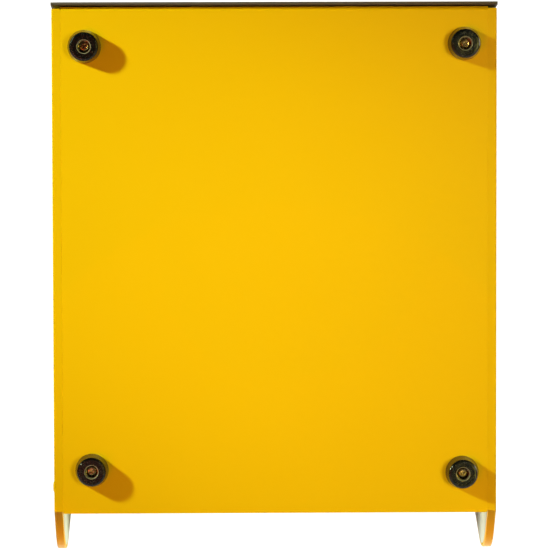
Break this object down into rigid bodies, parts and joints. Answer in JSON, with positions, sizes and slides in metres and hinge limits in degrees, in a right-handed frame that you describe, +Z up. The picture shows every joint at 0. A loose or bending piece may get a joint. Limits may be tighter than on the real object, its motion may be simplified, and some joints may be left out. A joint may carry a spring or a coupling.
{
  "type": "wall-mounted mailbox",
  "caption": "Yellow sheet-steel wall mailbox with thick side cheeks, a lifting dark lid, a tilt-down front door with a cam lock, and rubber wall feet.",
  "frame": {"origin": "on the wall plane, level with the middle of the back panel's height and width", "axes": "+Z up, +Y into the wall, -Y to the front, +X to the right seen from the front"},
  "size_m": [0.3724, 0.1895, 0.4526],
  "materials": {
    "yellow_paint": "satin powder coat",
    "liner_paint": "satin powder coat",
    "lid_paint": "satin powder coat",
    "black_rubber": "glossy moulded",
    "yellow_zinc": "yellow zinc plated",
    "zinc_steel": "bright zinc plated",
    "lock_chrome": "polished",
    "nickel_brass": "nickel plated",
    "nylon": "moulded",
    "frame_plastic": "moulded",
    "card": "matt",
    "clear_plastic": "clear"
  },
  "bodies": {
    "cabinet": {"back_panel": "yellow_paint", "side_shell_left": "yellow_paint", "side_shell_right": "yellow_paint", "side_liner_left": "liner_paint", "side_liner_right": "liner_paint", "floor_panel": "yellow_paint", "front_rail": "yellow_paint", "letter_guard": "yellow_paint", "rail_rivets": "zinc_steel", "guard_rivets": "zinc_steel", "lid_bumpers": "black_rubber", "door_buffers": "black_rubber", "hinge_brackets": "yellow_paint", "hinge_rod": "zinc_steel", "foot_top_left": "black_rubber", "foot_top_right": "black_rubber", "foot_bottom_left": "black_rubber", "foot_bottom_right": "black_rubber", "foot_screws": "yellow_zinc", "foot_washers": "yellow_zinc", "foot_nuts": "zinc_steel", "pivot_spacers": "zinc_steel", "pivot_washers": "zinc_steel", "pivot_nuts": "zinc_steel", "door_stop_pins": "zinc_steel", "pivot_bolts": "yellow_paint"},
    "door": {"front_door": "yellow_paint", "door_bushes": "nylon", "door_stiffeners": "yellow_paint", "name_plate_frame": "frame_plastic", "name_card": "card", "name_window": "clear_plastic", "name_plate_rivets": "zinc_steel", "lock_housing": "lock_chrome", "lock_nut": "zinc_steel"},
    "lock": {"lock_plug": "lock_chrome", "lock_cam": "zinc_steel", "cam_washer": "zinc_steel", "cam_screw": "zinc_steel"},
    "key": {"key": "nickel_brass"},
    "lid": {"lid_plate": "lid_paint", "lid_clevises": "lid_paint", "lid_stiffener": "lid_paint"}
  },
  "joints": [
    {"name": "lid_hinge", "type": "hinge", "parent": "cabinet", "child": "lid", "pos_m": [0, -0.0187, 0.1995], "axis": [-1, 0, 0], "range_deg": [0, 90]},
    {"name": "door_hinge", "type": "hinge", "parent": "cabinet", "child": "door", "pos_m": [0, -0.1265, -0.1965], "axis": [1, 0, 0], "range_deg": [0, 80]},
    {"name": "lock_turn", "type": "hinge", "parent": "door", "child": "lock", "pos_m": [0, -0.1635, 0.117], "axis": [0, 1, 0], "range_deg": [0, 90]},
    {"name": "key_slide", "type": "slide", "parent": "lock", "child": "key", "axis": [0, -1, 0], "range_m": [0, 0.026]}
  ]
}
